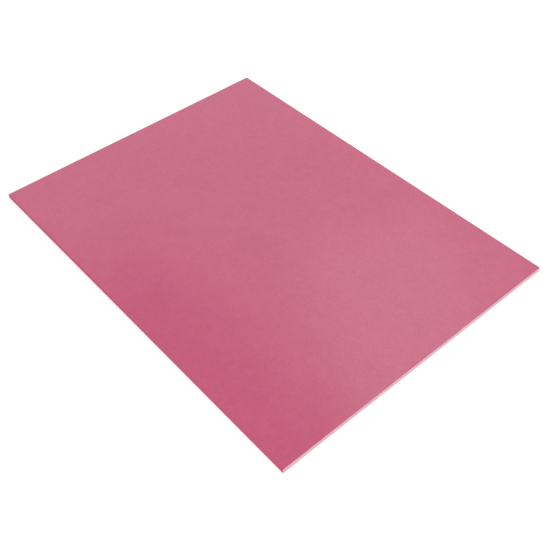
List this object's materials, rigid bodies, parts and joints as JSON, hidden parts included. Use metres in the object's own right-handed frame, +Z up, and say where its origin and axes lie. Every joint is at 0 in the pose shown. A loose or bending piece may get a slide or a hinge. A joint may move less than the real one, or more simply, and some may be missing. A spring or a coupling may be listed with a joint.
{
  "type": "scoring board",
  "caption": "Thin flat rectangular pad for scoring paper on: a soft skin wraps the face and long edges of a resilient core, the short ends are cut flush, and a backing closes the underside.",
  "frame": {"origin": "middle of the underside, on the surface that the pad rests on", "axes": "+X along the pad's length, towards one cut end; +Y across its width, towards a folded long edge; +Z up, out of the scoring face"},
  "size_m": [0.3048, 0.2286, 0.004],
  "materials": {
    "skin": "satin, fine grain",
    "adhesive": "set adhesive film, clear to pale",
    "core": "smooth cut edge",
    "backing": "matte, fine non-slip texture"
  },
  "bodies": {
    "root": {"cover_sheet": "skin", "cover_adhesive": "adhesive", "core_board": "core", "backing_adhesive": "adhesive", "backing_sheet": "backing"}
  },
  "joints": []
}
